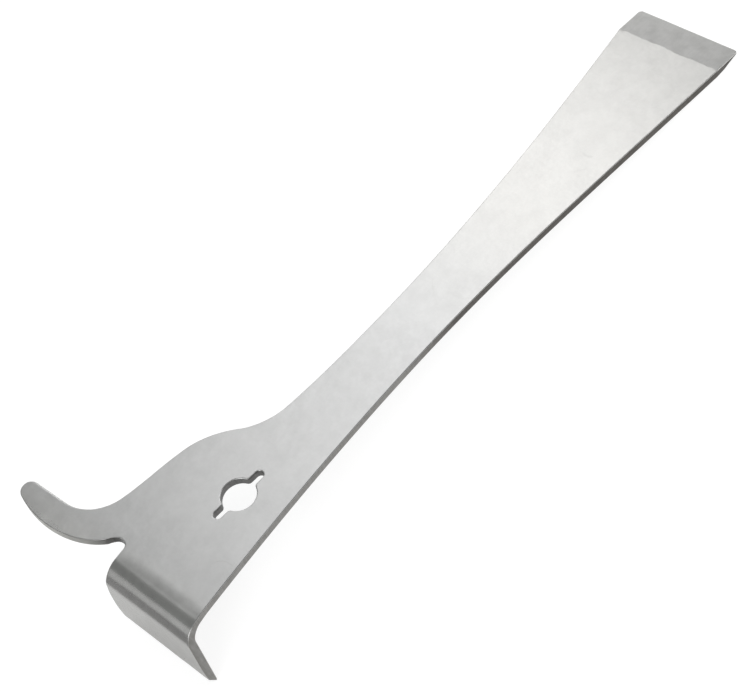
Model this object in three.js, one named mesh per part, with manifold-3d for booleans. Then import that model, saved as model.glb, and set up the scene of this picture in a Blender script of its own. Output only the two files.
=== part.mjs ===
// A beekeeper's J-hook hive tool, in millimetres. It is one piece of stainless steel plate: cut to its
// outline, pierced with a hanging hole, bent once to make the scraper flange, and ground to an edge at
// both ends. Nothing is fastened to it and nothing on it moves, so it is a single solid.
//
// The tool is drawn in its own drawing frame first: X runs from the outer face of the flange to the tip
// of the blade, Y runs towards the hook, and the plate's top face lies at Z = 0 with the flange hanging
// below it. At the end it is tipped until it rests on the flange's edge and on the heel of the blade, the
// line across its underside where the lower bevel starts.

import * as THREE from 'three';
import { mergeVertices } from 'three/addons/utils/BufferGeometryUtils.js';
import Module from 'manifold-3d';

// ---- Driving dimensions ----

const overallLength = 266;
const headLength = 74;
const bladeLeftY = 20.2;
const bladeRightY = -19;
const plateThickness = 2.9;

const bladeBevelLength = 12;
const undersideBevelLength = 8;
const bladeEdgeThickness = 0.4;
const bladeCornerRadius = 1.4;

const bendOuterRadius = 6.6;
const flangeDepth = 31;
const flangeGrindStart = 19.5;
const flangeFaceEnd = 27.5;
const flangeGrindDepth = 0.5;
const flangeEdgeThickness = 0.3;

const holeCentre = new THREE.Vector2(42.7, 2.7);
const holeRadius = 5.4;
const slotHalfSpan = 8.4;
const slotHalfWidth = 1.4;
const slotAngle = THREE.MathUtils.degToRad(-3);

const notchEnd = new THREE.Vector2(11.9, 21.4);
const hookTipTop = 59.8;

const curveSegments = 14;
const cornerFacets = 4;
const cutterMargin = 20;

const bendInnerRadius = bendOuterRadius - plateThickness;
const bevelStart = overallLength - bladeBevelLength;
const heelX = overallLength - undersideBevelLength;
const bladeEdgeBottom = -(plateThickness + bladeEdgeThickness) / 2;

// ---- Side profile: X to the right, Z up ----

function sideProfile() {
  const shape = new THREE.Shape();
  const bendCentre = new THREE.Vector2(bendOuterRadius, -bendOuterRadius);

  shape.moveTo(heelX, -plateThickness);
  shape.lineTo(overallLength, bladeEdgeBottom);
  shape.lineTo(overallLength, bladeEdgeBottom + bladeEdgeThickness);
  shape.lineTo(bevelStart, 0);
  shape.lineTo(bendOuterRadius, 0);
  shape.absarc(bendCentre.x, bendCentre.y, bendOuterRadius, Math.PI / 2, Math.PI, false);
  shape.lineTo(0, -flangeGrindStart);
  shape.lineTo(flangeGrindDepth, -flangeFaceEnd);
  shape.lineTo(plateThickness - flangeEdgeThickness, -flangeDepth);
  shape.lineTo(plateThickness, -flangeDepth);
  shape.lineTo(plateThickness, -bendOuterRadius);
  shape.absarc(bendCentre.x, bendCentre.y, bendInnerRadius, Math.PI, Math.PI / 2, true);
  return shape;
}

// ---- Outline of the plate seen from above: X along the tool, Y towards the hook ----

// A quarter-round blade corner, turning left in a few flat facets.
function addBladeCorner(shape, centreY, startAngle) {
  const centreX = overallLength - bladeCornerRadius;
  for (let i = 0; i <= cornerFacets; i += 1) {
    const angle = startAngle + (i / cornerFacets) * (Math.PI / 2);
    const x = centreX + bladeCornerRadius * Math.cos(angle);
    const y = centreY + bladeCornerRadius * Math.sin(angle);
    shape.lineTo(x, y);
  }
}

function plateOutline() {
  const shape = new THREE.Shape();

  // Right-hand edge, from the flange to the blade.
  shape.moveTo(0, -16.2);
  shape.lineTo(10, -14.9);
  shape.bezierCurveTo(44, -11.7, 78, -9.9, 112, -9.9);
  shape.bezierCurveTo(159, -9.9, 207, -15.3, bevelStart, bladeRightY);

  // Blade tip, square across with rounded corners.
  addBladeCorner(shape, bladeRightY + bladeCornerRadius, -Math.PI / 2);
  addBladeCorner(shape, bladeLeftY - bladeCornerRadius, 0);
  shape.lineTo(bevelStart, bladeLeftY);

  // Left-hand edge, back along the blade and handle to the shoulder of the head.
  shape.bezierCurveTo(210, 14.7, 165, 10, 120, 10);
  shape.bezierCurveTo(105, 10, 88.5, 10.3, headLength, 11.7);
  shape.bezierCurveTo(69, 12.2, 63.6, 14.5, 60, 18);
  shape.bezierCurveTo(56.2, 22.2, 51.2, 25.6, 46, 27);
  shape.bezierCurveTo(38, 29, 30, 29.2, 22, 31);

  // Inside of the hook, round its tip and down its back.
  shape.bezierCurveTo(16.1, 32.3, 10.9, 37.3, 10.9, 44);
  shape.lineTo(10.6, 56.9);
  shape.bezierCurveTo(10.5, 58.6, 9.5, hookTipTop, 7.8, hookTipTop);
  shape.bezierCurveTo(6.4, hookTipTop, 5, 59, 4.3, 57);
  shape.bezierCurveTo(0.7, 47.2, 1.3, 33.5, 9, 25);

  // Relief notch between the hook and the flange, with a round end.
  shape.bezierCurveTo(10, 24.3, notchEnd.x, 23.2, notchEnd.x, notchEnd.y);
  shape.bezierCurveTo(notchEnd.x, 19.9, 11.4, 18.5, 10, 18.4);
  shape.bezierCurveTo(7, 18.2, 4, 17.3, 0, 18);
  return shape;
}

// ---- Outline of the flange seen from its outer face: Y along the shape's x, Z up ----

function flangeOutline() {
  const shape = new THREE.Shape();
  const bottom = -flangeDepth - cutterMargin;

  shape.moveTo(-16.2, -bendOuterRadius);
  shape.lineTo(18, -bendOuterRadius);
  shape.bezierCurveTo(18.7, -9.5, 19.6, -12.5, 19.6, -18);
  shape.lineTo(19.6, -flangeDepth + 3);
  shape.quadraticCurveTo(19.6, -flangeDepth, 17, -flangeDepth);
  shape.lineTo(17, bottom);
  shape.lineTo(-16.4, bottom);
  return shape;
}

// ---- Solids ----

const wasm = await Module();
wasm.setup();

function toSolid(geometry) {
  const bare = geometry.index ? geometry.toNonIndexed() : geometry.clone();
  bare.deleteAttribute('normal');
  bare.deleteAttribute('uv');
  const merged = mergeVertices(bare);
  return new wasm.Manifold(new wasm.Mesh({
    numProp: 3,
    vertProperties: new Float32Array(merged.attributes.position.array),
    triVerts: new Uint32Array(merged.index.array),
  }));
}

function toGeometry(solid) {
  const mesh = solid.getMesh();
  const geometry = new THREE.BufferGeometry();
  geometry.setAttribute('position', new THREE.BufferAttribute(mesh.vertProperties, 3));
  geometry.setIndex(new THREE.BufferAttribute(mesh.triVerts, 1));
  const faceted = geometry.toNonIndexed();
  faceted.computeVertexNormals();
  return faceted;
}

// Extrudes a shape by depth along zAxis, with the shape's own x and y along xAxis and yAxis.
function prism(shape, depth, xAxis, yAxis, zAxis, start) {
  const geometry = new THREE.ExtrudeGeometry(shape, { depth, bevelEnabled: false, curveSegments });
  geometry.translate(0, 0, start);
  geometry.applyMatrix4(new THREE.Matrix4().makeBasis(xAxis, yAxis, zAxis));
  return geometry;
}

const xDirection = new THREE.Vector3(1, 0, 0);
const yDirection = new THREE.Vector3(0, 1, 0);
const zDirection = new THREE.Vector3(0, 0, 1);

// The bend only runs as far as the notch: beyond it the plate stays flat and becomes the hook.
function bentPlate() {
  const rightReach = cutterMargin - bladeRightY;
  const backwards = yDirection.clone().negate();
  const width = notchEnd.y + rightReach;
  const bent = toSolid(prism(sideProfile(), width, xDirection, zDirection, backwards, -notchEnd.y));

  const hookReach = hookTipTop + cutterMargin - notchEnd.y;
  const slab = new THREE.BoxGeometry(headLength + cutterMargin, hookReach, plateThickness);
  slab.translate(headLength / 2, notchEnd.y + hookReach / 2, -plateThickness / 2);
  return bent.add(toSolid(slab));
}

function plateCutter() {
  const height = bendOuterRadius + cutterMargin;
  return toSolid(prism(plateOutline(), height, xDirection, yDirection, zDirection, -bendOuterRadius));
}

function flangeCutter() {
  const depth = plateThickness + 2 * cutterMargin;
  return toSolid(prism(flangeOutline(), depth, yDirection, zDirection, xDirection, -cutterMargin));
}

// Round hole with two opposed slots, for a nail or a lanyard.
function hangingHole() {
  const depth = plateThickness + 2 * cutterMargin;
  const round = new THREE.Shape();
  round.absarc(0, 0, holeRadius, 0, 2 * Math.PI, false);

  const slot = new THREE.Shape();
  slot.absarc(slotHalfSpan, 0, slotHalfWidth, -Math.PI / 2, Math.PI / 2, false);
  slot.absarc(-slotHalfSpan, 0, slotHalfWidth, Math.PI / 2, 1.5 * Math.PI, false);

  const [roundSolid, slotSolid] = [round, slot].map((shape) => {
    const geometry = prism(shape, depth, xDirection, yDirection, zDirection, -depth / 2);
    geometry.rotateZ(slotAngle);
    geometry.translate(holeCentre.x, holeCentre.y, 0);
    return toSolid(geometry);
  });
  return roundSolid.add(slotSolid);
}

const cutOut = plateCutter().add(flangeCutter());
const toolSolid = bentPlate().intersect(cutOut).subtract(hangingHole());

// ---- The tool, tipped to rest on the flange's edge and the heel of the blade ----

const satinSteel = new THREE.MeshStandardMaterial({ color: 0xb9babb, roughness: 0.35, metalness: 1 });
const hiveTool = new THREE.Mesh(toGeometry(toolSolid), satinSteel);
hiveTool.name = 'hive_tool';

const restAngle = Math.atan2(flangeDepth - plateThickness, heelX - plateThickness);
const group = new THREE.Group();
group.add(hiveTool);
group.rotation.y = restAngle;
group.updateMatrixWorld(true);

const bounds = new THREE.Box3().setFromObject(group, true);
const middle = bounds.getCenter(new THREE.Vector3());
group.position.set(-middle.x, -middle.y, -bounds.min.z);

export default group;
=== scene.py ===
"""Looks of a beekeeper's J-hook hive tool: one satin stainless plate, bent once and ground at both ends.

The tool is drawn flat, as the blank that the plate is cut to, in millimetres. S runs along the blank from
the scraper's edge to the blade's tip and equals the tool's own X on the flat part; Y runs across it towards
the hook; depth runs down through the plate from its top face. The blank is then bent and laid where the CAD
part lies.
"""

import math

import bpy
import numpy as np
from mathutils import Matrix, Vector, noise
from mathutils.geometry import delaunay_2d_cdt


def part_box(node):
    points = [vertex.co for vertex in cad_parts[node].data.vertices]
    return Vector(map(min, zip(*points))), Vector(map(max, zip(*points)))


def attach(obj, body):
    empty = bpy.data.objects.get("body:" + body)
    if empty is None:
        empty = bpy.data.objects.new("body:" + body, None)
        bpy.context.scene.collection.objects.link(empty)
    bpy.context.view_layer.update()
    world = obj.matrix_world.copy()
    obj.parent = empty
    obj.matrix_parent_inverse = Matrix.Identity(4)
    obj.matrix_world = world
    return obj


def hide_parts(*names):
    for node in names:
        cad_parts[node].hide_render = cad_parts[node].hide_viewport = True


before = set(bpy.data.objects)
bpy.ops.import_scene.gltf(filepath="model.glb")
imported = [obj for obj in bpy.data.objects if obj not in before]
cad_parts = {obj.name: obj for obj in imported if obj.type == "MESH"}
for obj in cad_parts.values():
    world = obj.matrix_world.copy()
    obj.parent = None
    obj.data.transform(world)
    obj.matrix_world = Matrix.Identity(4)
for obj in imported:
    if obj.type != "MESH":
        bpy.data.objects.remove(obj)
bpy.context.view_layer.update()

MM = 0.001
NODE = "hive_tool"

# ---- Driving dimensions, in millimetres, the same as the CAD part's ----

OVERALL_LENGTH = 266.0
HEAD_LENGTH = 74.0
BLADE_LEFT_Y = 20.2
BLADE_RIGHT_Y = -19.0
THICKNESS = 2.9
BEVEL_LENGTH = 12.0
UNDERSIDE_BEVEL_LENGTH = 8.0
BLADE_EDGE = 0.4
BLADE_CORNER = 1.4
BEND_RADIUS = 6.6
FLANGE_DEPTH = 31.0
GRIND_START = 19.5
CHISEL_START = 27.5
GRIND_DEPTH = 0.5
FLANGE_EDGE = 0.3
HOLE_CENTRE = Vector((42.7, 2.7))
HOLE_RADIUS = 5.4
SLOT_SPAN = 8.4
SLOT_HALF_WIDTH = 1.4
SLOT_TILT = math.radians(-3)
SLOT_FILLET = 1.4
NOTCH_Y = 21.4
HOOK_TIP = 59.8

# ---- Sizes that only the finished surface has ----

EDGE_ROUND = 0.28
HOOK_ROUND = 0.6
HOOK_BACK_ROUND = 0.12
EDGE_SUPPORT = 0.2
DRAW_DEPTH = 0.13
DRAW_LENGTH = 4.0
FLANGE_CORNER = 0.8
ROUND_FACETS = 4
CURVE_STEP = 0.55
ARC_STEP = math.radians(9)
SAME_POINT = 0.02

BEVEL_START = OVERALL_LENGTH - BEVEL_LENGTH
HEEL = OVERALL_LENGTH - UNDERSIDE_BEVEL_LENGTH
BEND_LENGTH = BEND_RADIUS * math.pi / 2
BEND_END = BEND_RADIUS - BEND_LENGTH
BLANK_START = BEND_END + BEND_RADIUS - FLANGE_DEPTH
EDGE_RISE = (THICKNESS - BLADE_EDGE) / 2
REST_ANGLE = math.atan2(FLANGE_DEPTH - THICKNESS, HEEL - THICKNESS)


def flange_s(depth):
    """Where on the blank the flange's outer face is this far below the plate's top face."""
    return BEND_END + BEND_RADIUS - depth


# ---- Outlines of the blank ----


class Outline:
    """A closed outline, sampled as it is drawn from straight stretches, curves and arcs."""

    def __init__(self, start):
        self.points = [Vector(start)]

    def line(self, end):
        start = self.points[-1].copy()
        count = max(1, round((Vector(end) - start).length / CURVE_STEP))
        self.points += [start.lerp(Vector(end), (i + 1) / count) for i in range(count)]

    def curve(self, first, second, end):
        a, b, c, d = self.points[-1].copy(), Vector(first), Vector(second), Vector(end)
        length = (b - a).length + (c - b).length + (d - c).length
        count = max(4, round(length / CURVE_STEP))
        for i in range(1, count + 1):
            t = i / count
            u = 1 - t
            self.points.append(a * u**3 + b * 3 * u * u * t + c * 3 * u * t * t + d * t**3)

    def arc(self, centre, radius, start, end):
        count = max(2, math.ceil(abs(end - start) / ARC_STEP))
        for i in range(count + 1):
            angle = start + (end - start) * i / count
            self.points.append(Vector(centre) + radius * Vector((math.cos(angle), math.sin(angle))))

    def closed(self):
        """The points in order, without repeats."""
        kept = []
        for point in self.points:
            if not kept or (point - kept[-1]).length > SAME_POINT:
                kept.append(point)
        if (kept[0] - kept[-1]).length <= SAME_POINT:
            kept.pop()
        return np.array([tuple(p) for p in kept])


def blank_outline():
    """Counter-clockwise from the flange's right-hand corner."""
    quarter = math.pi / 2
    corner = FLANGE_CORNER
    outline = Outline((BLANK_START, 10))

    # Scraper's edge, its right-hand corner, and the right-hand edge up to the blade.
    outline.line((BLANK_START, -16.4 + corner))
    outline.arc((BLANK_START + corner, -16.4 + corner), corner, math.pi, 3 * quarter)
    outline.line((BEND_END, -16.2))
    outline.curve((BEND_END + 4.8, -16.15), (5, -15.55), (10, -14.9))
    outline.curve((44, -11.7), (78, -9.9), (112, -9.9))
    outline.curve((159, -9.9), (207, -15.3), (BEVEL_START, BLADE_RIGHT_Y))

    # Blade's tip.
    corner = BLADE_CORNER
    outline.line((OVERALL_LENGTH - corner, BLADE_RIGHT_Y))
    outline.arc((OVERALL_LENGTH - corner, BLADE_RIGHT_Y + corner), corner, -quarter, 0)
    outline.line((OVERALL_LENGTH, BLADE_LEFT_Y - corner))
    outline.arc((OVERALL_LENGTH - corner, BLADE_LEFT_Y - corner), corner, 0, quarter)
    outline.line((BEVEL_START, BLADE_LEFT_Y))

    # Left-hand edge, back to the shoulder of the head.
    outline.curve((210, 14.7), (165, 10), (120, 10))
    outline.curve((105, 10), (88.5, 10.3), (HEAD_LENGTH, 11.7))
    outline.curve((69, 12.2), (63.6, 14.5), (60, 18))
    outline.curve((56.2, 22.2), (51.2, 25.6), (46, 27))
    outline.curve((38, 29), (30, 29.2), (22, 31))

    # Inside of the hook, its tip and its back.
    outline.curve((16.1, 32.3), (10.9, 37.3), (10.9, 44))
    outline.line((10.6, 56.9))
    outline.curve((10.5, 58.6), (9.5, HOOK_TIP), (7.8, HOOK_TIP))
    outline.curve((6.4, HOOK_TIP), (5, 59), (4.3, 57))
    outline.curve((0.7, 47.2), (1.3, 33.5), (9, 25))

    # Relief notch, then the flange's left-hand edge and its eased corner.
    outline.curve((10, 24.3), (11.9, 23.2), (11.9, NOTCH_Y))
    outline.curve((11.9, 19.9), (11.4, 18.5), (10, 18.4))
    outline.curve((6.5, 18.1), (0, 17.5), (BEND_END, 18))
    outline.curve((flange_s(9.5), 18.7), (flange_s(12.5), 19.6), (flange_s(18), 19.6))
    outline.line((flange_s(FLANGE_DEPTH - 3), 19.6))
    outline.curve((flange_s(FLANGE_DEPTH - 1), 19.6), (BLANK_START, 18.3), (BLANK_START, 17))
    outline.line((BLANK_START, 10))
    return outline.closed()


def hole_outline():
    """Round hole with two opposed slots and small fillets between them, clockwise."""
    reach = HOLE_RADIUS + SLOT_FILLET
    aside = SLOT_HALF_WIDTH + SLOT_FILLET
    along = math.sqrt(reach**2 - aside**2)
    lean = math.atan2(aside, along)
    outline = Outline((SLOT_SPAN + SLOT_HALF_WIDTH, 0))
    for side in (1, -1):
        turn = 0 if side == 1 else math.pi
        fillets = [Vector((along, aside)) * side, Vector((-along, aside)) * side]
        outline.arc((SLOT_SPAN * side, 0), SLOT_HALF_WIDTH, turn, turn + math.pi / 2)
        outline.arc(fillets[0], SLOT_FILLET, turn - math.pi / 2, turn - math.pi + lean)
        outline.arc((0, 0), HOLE_RADIUS, turn + lean, turn + math.pi - lean)
        outline.arc(fillets[1], SLOT_FILLET, turn - lean, turn - math.pi / 2)
        outline.arc((-SLOT_SPAN * side, 0), SLOT_HALF_WIDTH, turn + math.pi / 2, turn + math.pi)
    points = outline.closed()
    cos, sin = math.cos(SLOT_TILT), math.sin(SLOT_TILT)
    turned = points @ np.array([[cos, sin], [-sin, cos]])
    return (turned + np.array(HOLE_CENTRE))[::-1]


# ---- The plate's two surfaces, as depths below its flat top face ----


def wander(values, scale, size, seed):
    """Smooth noise along a line: how far a hand-held grind wanders, in millimetres."""
    return np.array([size * noise.noise(Vector((v / scale, seed, 0.0))) for v in values])


def grind_line(y):
    return BEVEL_START + wander(y, 7.0, 0.4, 12.0) + wander(y, 2.0, 0.25, 8.0)


def heel_line(y):
    return HEEL + wander(y, 7.0, 0.3, 21.0)


def chisel_line(y):
    return flange_s(CHISEL_START) + wander(y, 6.0, 0.35, 15.0)


def bevel_rise(s, start):
    """How far a face of the blade is ground back towards mid-thickness, from its grind line to the tip."""
    share = np.clip((s - start) / (OVERALL_LENGTH - start), 0, 1)
    belly = 0.25 * share * (1 - share)
    return EDGE_RISE * (share + belly)


def top_depth(s, y):
    start = flange_s(GRIND_START)
    chisel = chisel_line(y)
    sweep = np.clip((start - s) / (start - chisel), 0, 1)
    steep = np.clip((chisel - s) / (chisel - BLANK_START), 0, 1)
    scrape = GRIND_DEPTH * sweep**1.5 + (THICKNESS - FLANGE_EDGE - GRIND_DEPTH) * steep
    return np.where(s > BEND_RADIUS, bevel_rise(s, grind_line(y)), scrape)


def bottom_depth(s, y):
    return THICKNESS - bevel_rise(s, heel_line(y))


# ---- From the flat blank to the row frame ----


def bend(s, y, depth):
    """Points of the flat blank once the flange is bent down. The hook beyond the notch stays flat."""
    hook = y > NOTCH_Y
    angle = np.clip((BEND_RADIUS - s) / BEND_RADIUS, 0, math.pi / 2)
    radius = BEND_RADIUS - depth
    drop = np.clip(BEND_END - s, 0, None)
    curved_x = BEND_RADIUS - radius * np.sin(angle)
    curved_z = -BEND_RADIUS + radius * np.cos(angle) - drop
    flat = hook | (s >= BEND_RADIUS)
    return np.column_stack([np.where(flat, s, curved_x), y, np.where(flat, -depth, curved_z)])


def row_frame_matrix():
    """Lays the drawn tool on the bench where the CAD part lies, in metres."""
    low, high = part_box(NODE)
    cos, sin = math.cos(REST_ANGLE), math.sin(REST_ANGLE)
    tip = OVERALL_LENGTH * cos - EDGE_RISE * sin
    heel = THICKNESS * sin + FLANGE_DEPTH * cos
    place = Vector((high.x - tip * MM, high.y - HOOK_TIP * MM, low.z + heel * MM))
    return Matrix.Translation(place) @ Matrix.Rotation(REST_ANGLE, 4, "Y") @ Matrix.Scale(MM, 4)


# ---- Mesh ----


def inward_normals(points):
    """For each point of a closed outline, the way into the metal, long enough to keep a parallel offset."""
    edges = np.roll(points, -1, axis=0) - points
    edges /= np.linalg.norm(edges, axis=1)[:, None]
    left = np.column_stack([-edges[:, 1], edges[:, 0]])
    mean = left + np.roll(left, 1, axis=0)
    mean /= np.linalg.norm(mean, axis=1)[:, None]
    stretch = 1 / np.clip((mean * left).sum(axis=1), 0.7, 1)
    return mean * stretch[:, None]


def inside(points, polygon):
    """Which points lie inside a closed polygon."""
    x, y = points[:, :1], points[:, 1:]
    x0, y0 = polygon[:, 0], polygon[:, 1]
    x1, y1 = np.roll(x0, -1), np.roll(y0, -1)
    straddles = (y0 > y) != (y1 > y)
    with np.errstate(divide="ignore", invalid="ignore"):
        crossing = x0 + (y - y0) * (x1 - x0) / (y1 - y0)
    return (straddles & (x < crossing)).sum(axis=1) % 2 == 1


def distance_to(points, line):
    gaps = points[:, None, :] - line[None, :, :]
    return np.sqrt((gaps**2).sum(axis=2)).min(axis=1)


def edge_profile():
    """Rings round a cut edge, from the top face to the bottom face: the share of the rounding's inset, the
    extra inset, the share of the rounding's depth and the share of the wall."""
    turns = [i / ROUND_FACETS * math.pi / 2 for i in range(ROUND_FACETS + 1)]
    top = [(1, EDGE_SUPPORT, 0, 0)] + [(1 - math.sin(t), 0, 1 - math.cos(t), 0) for t in turns]
    wall = [(0, 0, 1, share) for share in (0.25, 0.5, 0.75)]
    bottom = [(a, b, c, 1) for a, b, c, _ in reversed(top)]
    return top + wall + bottom


def edge_rings(outline):
    """The rings of points from the top face, round the cut edge, to the bottom face: (s, y, depth) each."""
    normals = inward_normals(outline)
    s, y = outline[:, 0], outline[:, 1]
    room = bottom_depth(s, y) - top_depth(s, y)
    # The hook is eased most on its inside and least on its back.
    inner_side = np.clip((y - 38) / 8, 0, 1) * np.clip(-normals[:, 0], 0, 1)
    back_side = np.clip((y - 20) / 4, 0, 1) * np.clip(2 * normals[:, 0], 0, 1)
    rounding = EDGE_ROUND + (HOOK_ROUND - EDGE_ROUND) * inner_side
    rounding += (HOOK_BACK_ROUND - EDGE_ROUND) * back_side
    drop = np.minimum(rounding, 0.4 * room)
    rings = []
    for inset_share, support, depth_share, wall_share in edge_profile():
        inset = rounding * inset_share + support
        ring = outline + normals * inset[:, None]
        top = top_depth(ring[:, 0], ring[:, 1]) + drop * depth_share
        bottom = bottom_depth(ring[:, 0], ring[:, 1]) - drop * depth_share
        rings.append(np.column_stack([ring, top + (bottom - top) * wall_share]))
    return rings


def face_rows():
    """S of each row of points across the plate, and whether the row is staggered. The rows lie closest
    together round the bend."""
    flange = np.arange(BLANK_START + 0.9, BEND_END - 0.3, 1.1)
    bent = np.arange(BEND_END, BEND_RADIUS + DRAW_LENGTH + 1, 0.5)
    flat = np.arange(BEND_RADIUS + DRAW_LENGTH + 2, BEVEL_START - 0.8, 1.5)
    bevel = np.arange(BEVEL_START + 1.2, OVERALL_LENGTH - 0.8, 1.2)
    rows = [(s, 0) for s in np.concatenate([flange, bent])]
    return rows + [(s, i % 2) for i, s in enumerate(np.concatenate([flat, bevel]))]


def grind_chains():
    """The lines where grinding starts, as chains of points: on the top bevel, the underside bevel and the
    scraper's chisel."""
    across_blade = np.arange(BLADE_RIGHT_Y + 1, BLADE_LEFT_Y - 0.6, 0.8)
    across_flange = np.arange(-15.4, 18.6, 0.8)
    return [
        np.column_stack([grind_line(across_blade), across_blade]),
        np.column_stack([heel_line(across_blade), across_blade]),
        np.column_stack([chisel_line(across_flange), across_flange]),
    ]


def face_points(outer, hole, chains):
    """Points spread over the plate's face, clear of its edges and of the grind lines."""
    spread = []
    for s, staggered in face_rows():
        ys = np.arange(-20, 60, 1.4) + 0.7 * staggered
        spread.append(np.column_stack([np.full(len(ys), s), ys]))
    spread = np.vstack(spread)
    spread = spread[distance_to(spread, np.vstack(chains)) > 0.6]
    both = np.vstack([outer, hole])
    keep = inside(spread, outer) & ~inside(spread, hole) & (distance_to(spread, both) > 0.5)
    return spread[keep]


def triangulate(outer, hole, spread, chains):
    """Triangles of the face, as indices into outer, hole, spread and the chains stacked in that order."""
    points = np.vstack([outer, hole, spread, *chains])
    loops, first = [], 0
    for loop in (outer, hole):
        last = first + len(loop)
        loops += [(i, i + 1) for i in range(first, last - 1)] + [(last - 1, first)]
        first = last
    first += len(spread)
    for chain in chains:
        loops += [(i, i + 1) for i in range(first, first + len(chain) - 1)]
        first += len(chain)
    made = delaunay_2d_cdt([Vector(p) for p in points], loops, [], 0, 1e-6)
    triangles = np.array(made[2])
    assert len(made[0]) == len(points), "the outline crosses itself"
    middles = points[triangles].mean(axis=1)
    keep = inside(middles, outer) & ~inside(middles, hole)
    return points, triangles[keep]


def draw_in(s, y):
    """How far the plate is already drawn down just before the bend, in millimetres."""
    before = np.clip(1 - (s - BEND_RADIUS) / DRAW_LENGTH, 0, 1)
    after = np.clip((s - BEND_END) / BEND_LENGTH, 0, 1)
    beside_hook = np.clip((NOTCH_Y - y) / 8, 0, 1)
    return DRAW_DEPTH * before**2 * after * beside_hook


def unevenness(s, y):
    """How far the rolled plate and the pressed bend depart from true, in millimetres."""
    height = np.zeros(len(s))
    for i, (a, b) in enumerate(zip(s, y, strict=True)):
        sheet = 0.03 * noise.noise(Vector((a / 40, b / 28, 1.0)))
        ripple = 0.006 * noise.noise(Vector((a / 8, b / 7, 5.0)))
        ripple += 0.002 * noise.noise(Vector((a / 4, b / 4, 3.0)))
        on_bend = max(0.0, 1 - abs(a - BEND_RADIUS + BEND_LENGTH / 2) / 9)
        dent = 0.07 * on_bend * noise.noise(Vector((a / 5, b / 6, 9.0)))
        height[i] = sheet + ripple + dent
    return height


def build_mesh():
    outer_rings, hole_rings = edge_rings(blank_outline()), edge_rings(hole_outline())
    outer, hole = outer_rings[0][:, :2], hole_rings[0][:, :2]
    chains = grind_chains()
    spread = face_points(outer, hole, chains)
    points, triangles = triangulate(outer, hole, spread, chains)
    rings = len(outer_rings)
    ring_size = len(outer) + len(hole)
    inner = points[ring_size:]

    blocks = [np.vstack([a, b]) for a, b in zip(outer_rings, hole_rings, strict=True)]
    for depth in (top_depth, bottom_depth):
        blocks.append(np.column_stack([inner, depth(inner[:, 0], inner[:, 1])]))
    flat = np.vstack(blocks)
    top_inner = rings * ring_size
    bottom_inner = top_inner + len(inner)

    def face_index(index, ring, inner_start):
        return np.where(index < ring_size, ring * ring_size + index, inner_start + index - ring_size)

    faces = [tuple(f) for f in face_index(triangles, 0, top_inner)]
    top_count = len(faces)
    faces += [tuple(f) for f in face_index(triangles[:, ::-1], rings - 1, bottom_inner)]
    plate_count = len(faces)
    wall_ring = []
    for ring in range(rings - 1):
        for first, count in ((0, len(outer)), (len(outer), len(hole))):
            for i in range(count):
                a, b = first + i, first + (i + 1) % count
                upper, lower = ring * ring_size, (ring + 1) * ring_size
                faces.append((upper + b, upper + a, lower + a, lower + b))
                wall_ring.append(ring)

    depth = flat[:, 2] + unevenness(flat[:, 0], flat[:, 1]) + draw_in(flat[:, 0], flat[:, 1])
    bent = bend(flat[:, 0], flat[:, 1], depth)
    mesh = bpy.data.meshes.new("hive_tool_steel")
    mesh.from_pydata([tuple(p) for p in bent], [], faces)
    mesh.transform(row_frame_matrix())
    mesh.update()

    # Materials: 0 the plate's faces, 1 the ground bevels, 2 the cut edges.
    s_y = np.array([flat[list(f), :2].mean(axis=0) for f in faces[:plate_count]])
    on_top = np.arange(plate_count) < top_count
    on_blade = s_y[:, 0] > np.where(on_top, grind_line(s_y[:, 1]), heel_line(s_y[:, 1]))
    on_scraper = on_top & (s_y[:, 0] < chisel_line(s_y[:, 1])) & (s_y[:, 1] < NOTCH_Y)
    slots = np.where(on_blade | on_scraper, 1, 0).tolist()
    first_wall, last_wall = ROUND_FACETS, rings - 2 - ROUND_FACETS
    slots += [2 if first_wall <= ring <= last_wall else 0 for ring in wall_ring]
    mesh.polygons.foreach_set("material_index", slots)
    mesh.polygons.foreach_set("use_smooth", [True] * len(faces))

    # Grind lines stay crisp: the underside's own, and on top the other two.
    crisp = set()
    first = len(spread)
    for i, chain in enumerate(chains):
        face_start = bottom_inner if i == 1 else top_inner
        crisp |= {(face_start + j, face_start + j + 1) for j in range(first, first + len(chain) - 1)}
        first += len(chain)
    for edge in mesh.edges:
        if tuple(sorted(edge.vertices)) in crisp:
            edge.use_edge_sharp = True
    return mesh


# ---- Materials ----


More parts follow.
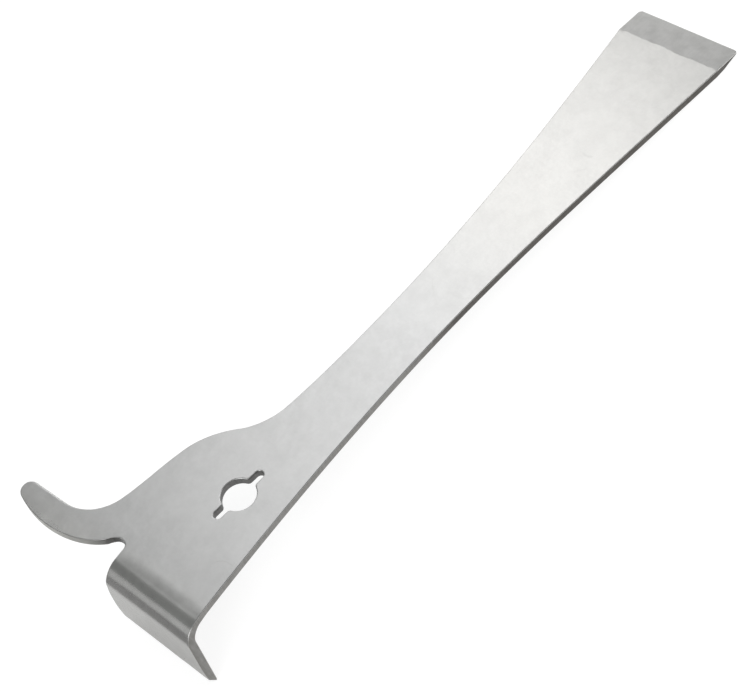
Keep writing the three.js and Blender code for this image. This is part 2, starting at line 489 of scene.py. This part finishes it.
class Nodes:
    """A short way to write a material's node tree."""

    def __init__(self, material):
        material.use_nodes = True
        self.tree = material.node_tree
        self.shader = self.tree.nodes["Principled BSDF"]
        self.place = self.tree.nodes.new("ShaderNodeTexCoord").outputs["Object"]

    def add(self, kind, **values):
        node = self.tree.nodes.new(kind)
        for name, value in values.items():
            setattr(node, name, value)
        return node

    def link(self, source, target):
        self.tree.links.new(source, target)

    def stretched(self, scale):
        """Object coordinates, scaled so that a pattern is longer one way than the other."""
        node = self.add("ShaderNodeMapping")
        node.inputs["Scale"].default_value = scale
        self.link(self.place, node.inputs["Vector"])
        return node.outputs["Vector"]

    def along(self, axis, start, end):
        """0 to 1 along one of the tool's axes, between two places in metres."""
        parts = self.add("ShaderNodeSeparateXYZ")
        self.link(self.place, parts.inputs["Vector"])
        node = self.add("ShaderNodeMapRange")
        node.inputs["From Min"].default_value = start
        node.inputs["From Max"].default_value = end
        self.link(parts.outputs[axis], node.inputs["Value"])
        return node.outputs["Result"]

    def noise(self, scale, detail=2.0, vector=None, roughness=0.5):
        node = self.add("ShaderNodeTexNoise")
        node.inputs["Scale"].default_value = scale
        node.inputs["Detail"].default_value = detail
        node.inputs["Roughness"].default_value = roughness
        self.link(vector or self.place, node.inputs["Vector"])
        return node.outputs["Fac"]

    def ramp(self, factor, stops):
        """stops: (position, value or colour) pairs."""
        node = self.add("ShaderNodeValToRGB")
        elements = node.color_ramp.elements
        while len(elements) < len(stops):
            elements.new(0.5)
        for element, (position, value) in zip(elements, stops, strict=True):
            element.position = position
            element.color = (*value, 1) if isinstance(value, tuple) else (value, value, value, 1)
        self.link(factor, node.inputs["Fac"])
        return node.outputs["Color"]

    def mix(self, first, second, factor, blend="MIX"):
        node = self.add("ShaderNodeMix", data_type="RGBA", blend_type=blend)
        for name, value in (("A", first), ("B", second)):
            socket = next(i for i in node.inputs if i.name == name and i.type == "RGBA")
            if isinstance(value, tuple):
                socket.default_value = (*value, 1)
            else:
                self.link(value, socket)
        if isinstance(factor, float):
            node.inputs["Factor"].default_value = factor
        else:
            self.link(factor, node.inputs["Factor"])
        return next(o for o in node.outputs if o.type == "RGBA")

    def scaled(self, value, factor):
        node = self.add("ShaderNodeMath", operation="MULTIPLY")
        node.inputs[1].default_value = factor
        self.link(value, node.inputs[0])
        return node.outputs["Value"]

    def painted_relief(self, scale, shift):
        """Painted shade and highlight: the light and dark sides of shallow dents as a colour, about 0.5 on
        the flat: a pattern less itself, moved a little."""
        moved = self.add("ShaderNodeMapping")
        moved.inputs["Location"].default_value = (shift, -shift, 0)
        self.link(self.place, moved.inputs["Vector"])
        slope = self.add("ShaderNodeMath", operation="SUBTRACT")
        self.link(self.noise(scale, 2), slope.inputs[0])
        self.link(self.noise(scale, 2, moved.outputs["Vector"]), slope.inputs[1])
        shade = self.add("ShaderNodeMath", operation="MULTIPLY_ADD")
        self.link(slope.outputs["Value"], shade.inputs[0])
        shade.inputs[1].default_value = 2.0
        shade.inputs[2].default_value = 0.5
        return shade.outputs["Value"]

    def hairlines(self, scale, width, rarity):
        """Hair-thin curved lines, 0 to 1: the level lines of a smooth pattern, kept in patches only."""
        lines = self.ramp(self.noise(scale, 0), [(0.5 - width, 0.0), (0.5, 1.0), (0.5 + width, 0.0)])
        patches = self.ramp(self.noise(1.7 * scale, 1), [(rarity, 0.0), (rarity + 0.06, 1.0)])
        return self.mix(lines, patches, 1.0, "MULTIPLY")

    def bump(self, height, distance, normal=None):
        node = self.add("ShaderNodeBump")
        node.inputs["Distance"].default_value = distance
        node.inputs["Strength"].default_value = 1.0
        self.link(height, node.inputs["Height"])
        if normal:
            self.link(normal, node.inputs["Normal"])
        return node.outputs["Normal"]


def plate_face_material():
    """Satin mill finish: faintly mottled and tinted in patches, with painted shade and highlight for
    shallow dents in places, and a few hair-thin scratches.
    """
    material = bpy.data.materials.new("satin_plate_face")
    n = Nodes(material)
    n.shader.inputs["Metallic"].default_value = 1

    plain, warm = (0.622, 0.621, 0.621), (0.627, 0.620, 0.607)
    lengthwise = [(0.0, warm), (0.06, plain), (0.45, plain), (0.65, warm)]
    tint = n.ramp(n.along("X", -0.133, 0.133), lengthwise)
    patches = n.ramp(n.noise(170, 3, roughness=0.6), [(0.35, 0.945), (0.65, 1.0)])
    mottle = n.noise(420, 4, roughness=0.65)
    patchy = n.mix(tint, patches, 1.0, "MULTIPLY")
    steel = n.mix(patchy, n.ramp(mottle, [(0.3, 0.93), (0.7, 1.0)]), 1.0, "MULTIPLY")
    # Painted shade and highlight of shallow dents, shown in patches.
    painted_dent_shade = n.mix(steel, n.ramp(n.painted_relief(330, 0.0005), [(0.3, 0.955), (0.7, 1.0)]), 1.0, "MULTIPLY")
    steel = n.mix(steel, painted_dent_shade, n.ramp(n.noise(45, 2), [(0.4, 0.15), (0.65, 1.0)]))
    scratches = n.hairlines(55, 0.005, 0.6)
    n.link(n.mix(steel, (0.55, 0.546, 0.538), n.scaled(scratches, 0.5)), n.shader.inputs["Base Color"])

    # The die has burnished the bend.
    satin = n.ramp(mottle, [(0.3, 0.285), (0.7, 0.315)])
    burnished = n.ramp(n.along("X", -0.133, -0.118), [(0.3, 1.0), (0.8, 0.0)])
    roughness = n.mix(satin, (0.27, 0.27, 0.27), burnished)
    n.link(n.mix(roughness, (0.36, 0.36, 0.36), n.scaled(scratches, 0.6)), n.shader.inputs["Roughness"])

    grain = n.noise(900, 3, n.stretched((0.3, 1, 1)), 0.6)
    soft = n.bump(n.noise(120, 2), 0.00001)
    pebble = n.bump(n.noise(500, 2, roughness=0.4), 0.000006, normal=soft)
    rolled = n.bump(grain, 0.000001, normal=pebble)
    n.link(n.bump(scratches, 0.000006, normal=rolled), n.shader.inputs["Normal"])
    return material


def ground_edge_material():
    """Belt-ground bevels: fine lines along the tool, a little duller than the plate's faces."""
    material = bpy.data.materials.new("ground_edge")
    n = Nodes(material)
    n.shader.inputs["Metallic"].default_value = 1
    lines = n.noise(2600, 2, n.stretched((0.05, 1, 0.05)), 0.6)
    steel = n.ramp(lines, [(0.3, (0.58, 0.575, 0.567)), (0.7, (0.61, 0.605, 0.597))])
    mottle = n.ramp(n.noise(180, 4, roughness=0.6), [(0.35, 0.87), (0.6, 1.0)])
    n.link(n.mix(steel, mottle, 1.0, "MULTIPLY"), n.shader.inputs["Base Color"])
    n.link(n.ramp(n.noise(300, 3), [(0.3, 0.42), (0.7, 0.48)]), n.shader.inputs["Roughness"])
    n.link(n.bump(lines, 0.000006), n.shader.inputs["Normal"])
    return material


def cut_edge_material():
    """Sheared edge: rougher, with fine lines down through the thickness. Its dark base is partly the duller
    sheared finish and partly painted shade for the shadowed table that the walls mirror. The painted shade
    deepens along the blade, the walls away from the right-hand edge are darker, the hole's among them, and
    a painted reflection of the bright table makes them brightest round the hook."""
    material = bpy.data.materials.new("cut_edge")
    n = Nodes(material)
    n.shader.inputs["Metallic"].default_value = 1
    tears = n.noise(2200, 3, n.stretched((1, 1, 0.08)), 0.6)
    # The dark base: partly the sheared edge's duller finish, partly painted shade for the shadowed table
    # that the walls mirror.
    steel = n.ramp(tears, [(0.3, (0.21, 0.205, 0.195)), (0.7, (0.28, 0.275, 0.265))])
    # Painted shade: the walls get darker towards the blade, where the tool lies closest to the table and
    # the walls mirror its shadow.
    painted_shade_towards_blade = n.ramp(n.along("X", -0.0285, -0.0045), [(0.0, (1, 1, 1)), (1.0, (0.43, 0.408, 0.39))])
    # The walls away from the right-hand edge, the hole's among them, are darker.
    darker_leftwards = n.ramp(n.along("Y", -0.0285, -0.0255), [(0.0, (1, 1, 1)), (1.0, (0.6, 0.605, 0.62))])
    steel = n.mix(n.mix(steel, painted_shade_towards_blade, 1.0, "MULTIPLY"), darker_leftwards, 1.0, "MULTIPLY")
    # Painted reflection: the walls round the hook are brightened, standing in for the bright table that
    # they mirror.
    painted_reflection_round_hook = n.ramp(n.along("Y", 0.003, 0.010), [(0.0, 0.0), (1.0, 1.0)])
    n.link(n.mix(steel, (0.50, 0.495, 0.475), painted_reflection_round_hook), n.shader.inputs["Base Color"])
    n.link(n.ramp(n.noise(400, 3), [(0.3, 0.42), (0.7, 0.55)]), n.shader.inputs["Roughness"])
    n.link(n.bump(tears, 0.00002), n.shader.inputs["Normal"])
    return material


# ---- Stage, lights and camera ----


def matt_material(name, grey, glow=0.0):
    material = bpy.data.materials.new(name)
    shader = Nodes(material).shader
    shader.inputs["Base Color"].default_value = (grey, grey, grey, 1)
    shader.inputs["Roughness"].default_value = 1
    shader.inputs["Specular IOR Level"].default_value = 0
    shader.inputs["Emission Color"].default_value = (1, 1, 1, 1)
    shader.inputs["Emission Strength"].default_value = glow
    return material


def make_floor():
    """A plain white light table, much larger than the tool."""
    mesh = bpy.data.meshes.new("light_table")
    half = 3.0
    corners = [(-half, -half, 0), (half, -half, 0), (half, half, 0), (-half, half, 0)]
    mesh.from_pydata(corners, [], [(0, 1, 2, 3)])
    mesh.materials.append(matt_material("white_table", 0.3, 0.8))
    table = bpy.data.objects.new("light_table", mesh)
    bpy.context.scene.collection.objects.link(table)


def facing(way):
    """Turns a light's front to the tool, with its width level along the tool's length."""
    back = way.normalized()
    across = Vector((0, 1, 0)).cross(back).normalized()
    return Matrix((across, back.cross(across), back)).transposed().to_quaternion()


def softbox(name, lean, rise, spans, radiance, distance=3.0):
    """An area light that faces the tool, placed by how far it leans from overhead towards +X and then
    towards +Y, in degrees. Spans are its width and height in degrees; radiance is how bright it looks."""
    data = bpy.data.lights.new(name, "AREA")
    data.shape = "RECTANGLE"
    width, height = (2 * distance * math.tan(math.radians(span / 2)) for span in spans)
    data.size, data.size_y = width, height
    data.energy = radiance * math.pi * width * height
    light = bpy.data.objects.new(name, data)
    a, b = math.radians(lean), math.radians(rise)
    way = Vector((math.sin(a) * math.cos(b), math.sin(b), math.cos(a) * math.cos(b)))
    light.location = way * distance
    light.rotation_mode = "QUATERNION"
    light.rotation_quaternion = facing(way)
    light.visible_camera = False
    bpy.context.scene.collection.objects.link(light)
    return light


def make_lights():
    """A key with a brighter core, softboxes round it for the edges, bevels and bend to mirror, and one
    overhead that lights the table and is not mirrored."""
    softbox("key", 32.2, 24.3, (29.0, 25.6), 1.23)
    softbox("key_core", 41, 27, (6, 18), 1.5, 2.9)
    softbox("right", 63, 25, (18, 24), 0.25)
    softbox("rim", 88, 30, (16, 24), 3.0)
    softbox("back", 48, 68, (36, 22), 1.5)
    softbox("left", -58, 27, (30, 17), 0.42)
    softbox("far", 76, 52, (36, 20), 0.8)
    softbox("front_left", -55, -20, (44, 30), 2.2)
    softbox("front_right", 62, -22, (30, 25), 2.0)
    overhead = softbox("table_fill", 0, 0, (60, 60), 1.2)
    overhead.visible_glossy = False


def make_cards():
    """Two grey cards beyond the flange that only the steel sees. One lies on the table as painted shadow:
    the flange mirrors it in place of the table's shade beside the flange, which tones the flange down. The
    other stands low behind it and darkens the lower half of the bend, but not the hook."""
    back, front, side, lift = -0.162, -0.1334, 0.09, 0.0005
    end, height = 0.030, 0.0315
    shadow_card_corners = [(back, -side, lift), (front, -side, lift), (front, side, lift), (back, side, lift)]
    standing = [(back, -side, 0), (back, end, 0), (back, end, height), (back, -side, height)]
    # The lying card is painted shadow: grey in place of the shaded table beside the flange.
    for name, corners, grey in (("table_shadow_card", shadow_card_corners, 0.83), ("standing_card", standing, 0.35)):
        mesh = bpy.data.meshes.new(name)
        mesh.from_pydata(corners, [], [(0, 1, 2, 3)])
        mesh.materials.append(matt_material(name, grey))
        card = bpy.data.objects.new(name, mesh)
        bpy.context.scene.collection.objects.link(card)
        card.visible_camera = False
        card.visible_diffuse = False
        card.visible_shadow = False


def make_world():
    """Even studio grey for light and reflections, with a white backdrop behind the floor."""
    world = bpy.data.worlds.new("studio")
    bpy.context.scene.world = world
    world.use_nodes = True
    tree = world.node_tree
    grey = tree.nodes["Background"]
    grey.inputs["Color"].default_value = (0.247, 0.253, 0.247, 1)
    white = tree.nodes.new("ShaderNodeBackground")
    white.inputs["Color"].default_value = (1, 1, 1, 1)
    path = tree.nodes.new("ShaderNodeLightPath")
    mix = tree.nodes.new("ShaderNodeMixShader")
    tree.links.new(path.outputs["Is Camera Ray"], mix.inputs["Fac"])
    tree.links.new(grey.outputs["Background"], mix.inputs[1])
    tree.links.new(white.outputs["Background"], mix.inputs[2])
    tree.links.new(mix.outputs["Shader"], tree.nodes["World Output"].inputs["Surface"])


def direction(azimuth, elevation):
    """Unit vector from azimuth, counter-clockwise from +X, and elevation, in degrees."""
    a, e = math.radians(azimuth), math.radians(elevation)
    return Vector((math.cos(a) * math.cos(e), math.sin(a) * math.cos(e), math.sin(e)))


def make_camera():
    """A long lens from above the handle's right-hand side, rolled so that the tool runs up to the right."""
    azimuth, elevation, roll = -119.324, 55.676, 25.065
    target, distance = Vector((-0.025495, -0.015692, 0.018)), 0.51878
    data = bpy.data.cameras.new("camera")
    data.sensor_width = 36
    data.lens = 82.0
    data.clip_start, data.clip_end = 0.01, 20
    camera = bpy.data.objects.new("camera", data)
    back = direction(azimuth, elevation)
    camera.rotation_mode = "QUATERNION"
    turn = Matrix.Rotation(math.radians(-roll), 4, "Z").to_quaternion()
    camera.rotation_quaternion = back.to_track_quat("Z", "Y") @ turn
    camera.location = target + back * distance
    bpy.context.scene.collection.objects.link(camera)
    bpy.context.scene.camera = camera


# ---- Putting it together ----


def make_tool():
    mesh = build_mesh()
    for material in (plate_face_material(), ground_edge_material(), cut_edge_material()):
        mesh.materials.append(material)
    tool = bpy.data.objects.new("hive_tool_steel", mesh)
    bpy.context.scene.collection.objects.link(tool)
    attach(tool, "root")
    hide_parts(NODE)


make_camera()
make_tool()
make_floor()
make_lights()
make_cards()
make_world()
bpy.context.scene.view_settings.view_transform = "Standard"
